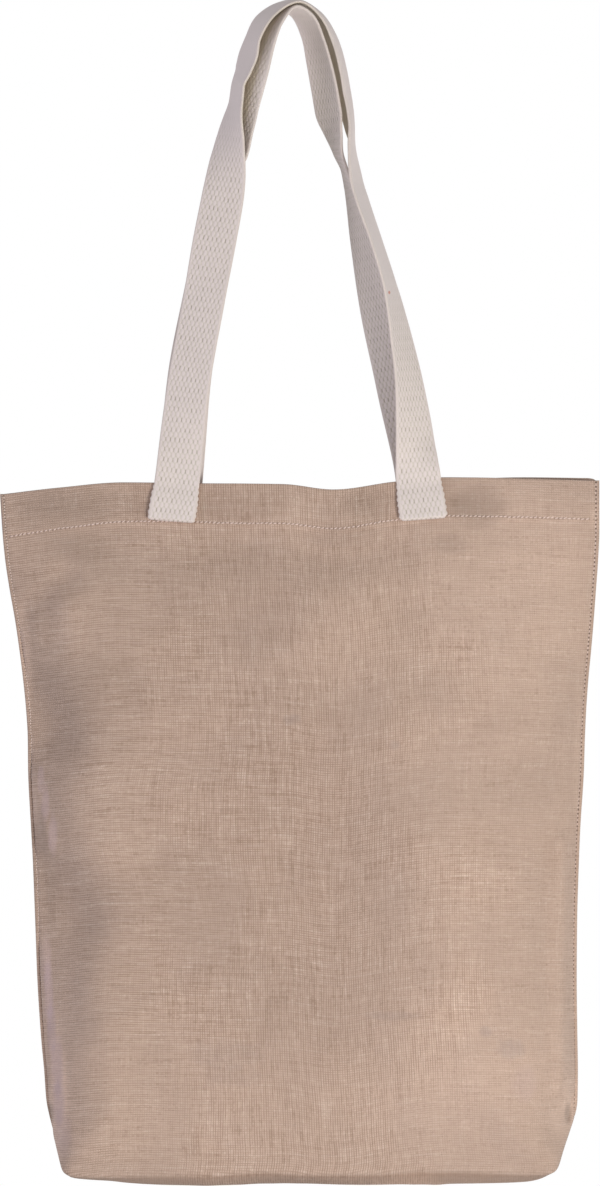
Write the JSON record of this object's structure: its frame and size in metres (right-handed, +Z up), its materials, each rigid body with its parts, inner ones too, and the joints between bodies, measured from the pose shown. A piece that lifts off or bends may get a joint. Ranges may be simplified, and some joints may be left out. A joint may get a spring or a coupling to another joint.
{
  "type": "jute tote bag",
  "caption": "Plain jute tote bag with a boxed base and two cotton webbing handles, hanging by the handles over an unseen support.",
  "frame": {"origin": "where the bag hangs: the underside of the inner handle crown, at the middle of its width", "axes": "+X to the right across the front, +Y from front to back, +Z up; the front panel faces -Y"},
  "size_m": [0.3998, 0.0935, 0.7915],
  "materials": {
    "jute_cloth": "matt plain-woven jute, undyed brown",
    "cotton_webbing": "matt off-white woven cotton webbing"
  },
  "bodies": {
    "root": {"body": "jute_cloth", "handle_front": "cotton_webbing", "handle_back": "cotton_webbing"}
  },
  "joints": []
}
